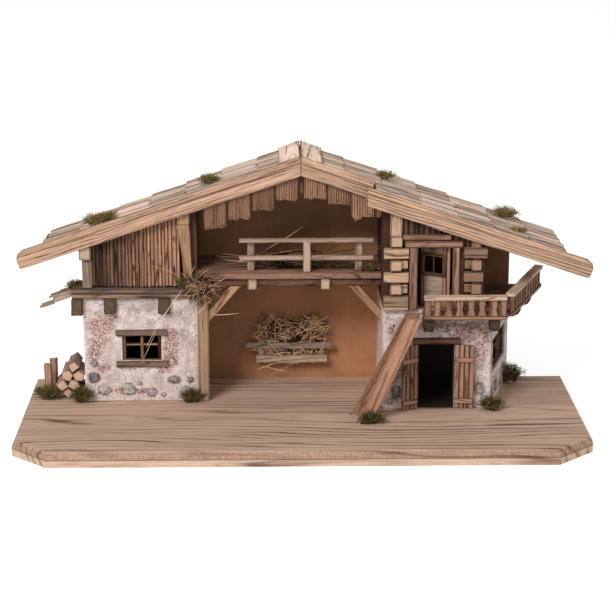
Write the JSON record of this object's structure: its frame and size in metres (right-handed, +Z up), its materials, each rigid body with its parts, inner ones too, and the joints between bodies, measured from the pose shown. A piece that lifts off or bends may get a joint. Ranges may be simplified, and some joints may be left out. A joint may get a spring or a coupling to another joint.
{
  "type": "nativity stable",
  "caption": "Alpine nativity stable on a board: an open hall with loft and hay rack between a stone house and a log house with balcony, ladder and hinged doors.",
  "frame": {"origin": "middle of the board's underside, on the surface that the stable stands on", "axes": "+X along the board to the right as seen from the open front, +Y from the front to the back, +Z up"},
  "size_m": [0.7156, 0.305, 0.3378],
  "materials": {
    "board_wood": "lightly stained solid wood with a clear grain",
    "panel_wood": "thin plywood stained orange brown",
    "beam_wood": "brushed and weathered softwood",
    "dark_wood": "dark brown stained softwood",
    "siding_wood": "brown vertical boards with dark joints",
    "barge_wood": "scorched and brushed softwood with raised grain",
    "shingle_wood": "grey weathered shingles",
    "log_wood": "brushed squared logs",
    "ladder_wood": "orange softwood",
    "plaster": "wood-fibre board with a rough whitewashed plaster coat, small stones and brick patches",
    "hay": "dry hay and straw"
  },
  "bodies": {
    "stable": {"base_board": "board_wood", "back_panel": "panel_wood", "left_front_wall": "plaster", "left_side_wall": "plaster", "left_partition": "panel_wood", "left_window_frame": "dark_wood", "left_window_lintel": "dark_wood", "left_window_sill": "dark_wood", "left_floor": "beam_wood", "left_ledge_board": "beam_wood", "left_siding": "siding_wood", "left_side_siding": "siding_wood", "left_corner_post": "beam_wood", "left_wall_plate": "beam_wood", "left_inner_post": "beam_wood", "shed_roof": "shingle_wood", "hall_post": "beam_wood", "loft_floor": "beam_wood", "loft_beam": "dark_wood", "brace_left": "beam_wood", "brace_right": "beam_wood", "loft_railing": "beam_wood", "ridge_beam": "dark_wood", "hanging_boards_left": "siding_wood", "hanging_boards_right": "siding_wood", "roof_board_left": "panel_wood", "roof_board_right": "panel_wood", "shingles_left": "shingle_wood", "shingles_right": "shingle_wood", "ridge_cap_left": "shingle_wood", "ridge_cap_right": "shingle_wood", "barge_board_left": "barge_wood", "barge_board_inner": "barge_wood", "barge_board_right": "barge_wood", "right_front_wall": "plaster", "right_side_wall": "plaster", "right_partition": "plaster", "right_window_frame": "dark_wood", "stable_door_lintel": "dark_wood", "log_corner_left": "log_wood", "log_corner_right": "log_wood", "upper_front_wall": "siding_wood", "upper_side_wall": "siding_wood", "door_header": "dark_wood", "balcony_door_frame": "beam_wood", "balcony_floor": "beam_wood", "balcony_front_railing": "log_wood", "balcony_side_railing": "log_wood", "ladder": "ladder_wood", "hay_rack": "beam_wood", "rack_hay": "hay", "loft_hay": "hay", "straw_tuft": "hay", "wood_stack": "log_wood", "front_stake": "log_wood", "rear_stake": "log_wood"},
    "left_leaf": {"stable_door_left": "beam_wood"},
    "right_leaf": {"stable_door_right": "beam_wood"},
    "balcony_leaf": {"balcony_door": "dark_wood"}
  },
  "joints": [
    {"name": "stable_door_left_hinge", "type": "hinge", "parent": "stable", "child": "left_leaf", "pos_m": [0.1453, 0.0125, 0.061], "axis": [0, 0, 1], "range_deg": [-12, 147]},
    {"name": "stable_door_right_hinge", "type": "hinge", "parent": "stable", "child": "right_leaf", "pos_m": [0.1933, 0.0125, 0.061], "axis": [0, 0, 1], "range_deg": [-172, 5]},
    {"name": "balcony_door_hinge", "type": "hinge", "parent": "stable", "child": "balcony_leaf", "pos_m": [0.1855, 0.02, 0.186], "axis": [0, 0, 1], "range_deg": [-60, 30]}
  ]
}
